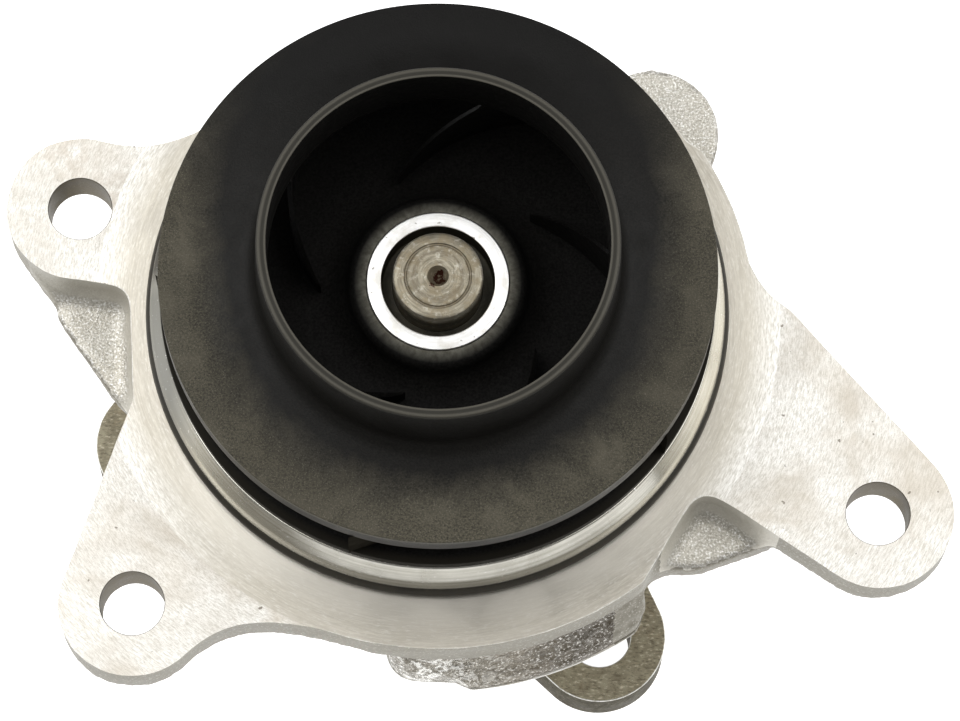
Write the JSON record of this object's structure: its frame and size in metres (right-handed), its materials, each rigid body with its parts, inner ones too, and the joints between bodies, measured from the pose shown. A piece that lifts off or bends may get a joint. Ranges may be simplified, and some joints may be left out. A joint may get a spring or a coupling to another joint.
{
  "type": "water pump",
  "caption": "Engine water pump with a cast mounting plate and lugs, spigot with O-ring, closed plastic impeller, shaft bearing, face seal and a three-eared drive flange.",
  "frame": {"origin": "on the shaft axis in the plane of the drive flange's rear face", "axes": "+Z along the shaft towards the impeller's inlet, +X towards the lone right-hand lug"},
  "size_m": [0.1705, 0.1285, 0.1356],
  "materials": {
    "cast_aluminium": "as cast, with a bright turned mounting face and spigot",
    "black_plastic": "glass-filled moulding, satin",
    "insert_metal": "bright machined",
    "shaft_steel": "turned, with light rust",
    "flange_steel": "forged, dull olive plating",
    "bearing_steel": "ground",
    "spring_steel": "plain",
    "stainless_steel": "pressed sheet",
    "olive_rubber": "dusty",
    "black_rubber": "matt",
    "carbon": "lapped carbon graphite",
    "ceramic": "lapped silicon carbide",
    "cage_nylon": "moulded"
  },
  "bodies": {
    "housing": {"pump_housing": "cast_aluminium", "spigot_o_ring": "olive_rubber", "bearing_outer_race": "bearing_steel", "bearing_front_seal": "black_rubber", "bearing_rear_seal": "black_rubber", "bearing_retaining_ring": "spring_steel", "seal_cartridge": "stainless_steel", "seal_bellows": "black_rubber", "seal_spring": "spring_steel", "seal_carbon_ring": "carbon"},
    "rotor": {"drive_shaft": "shaft_steel", "impeller_inlet_shroud": "black_plastic", "impeller_vane_disc": "black_plastic", "impeller_insert": "insert_metal", "seal_mating_ring": "ceramic", "seal_seat_cup": "black_rubber", "slinger_ring": "stainless_steel", "drive_flange": "flange_steel"},
    "ball_train": {"ball_cage": "cage_nylon", "bearing_ball_1": "bearing_steel", "bearing_ball_2": "bearing_steel", "bearing_ball_3": "bearing_steel", "bearing_ball_4": "bearing_steel", "bearing_ball_5": "bearing_steel", "bearing_ball_6": "bearing_steel", "bearing_ball_7": "bearing_steel", "bearing_ball_8": "bearing_steel"},
    "roller_train": {"roller_cage": "cage_nylon", "bearing_roller_1": "bearing_steel", "bearing_roller_2": "bearing_steel", "bearing_roller_3": "bearing_steel", "bearing_roller_4": "bearing_steel", "bearing_roller_5": "bearing_steel", "bearing_roller_6": "bearing_steel", "bearing_roller_7": "bearing_steel", "bearing_roller_8": "bearing_steel", "bearing_roller_9": "bearing_steel", "bearing_roller_10": "bearing_steel"}
  },
  "joints": [
    {"name": "shaft_spin", "type": "hinge", "parent": "housing", "child": "rotor", "pos_m": [0, 0, 0.06], "axis": [0, 0, 1], "continuous": true},
    {"name": "ball_train_spin", "type": "hinge", "parent": "housing", "child": "ball_train", "pos_m": [0, 0, 0.066], "axis": [0, 0, 1], "continuous": true},
    {"name": "roller_train_spin", "type": "hinge", "parent": "housing", "child": "roller_train", "pos_m": [0, 0, 0.0395], "axis": [0, 0, 1], "continuous": true}
  ],
  "couplings": [
    {"joint": "ball_train_spin", "follows": "shaft_spin", "ratio": 0.3688},
    {"joint": "roller_train_spin", "follows": "shaft_spin", "ratio": 0.3988}
  ]
}
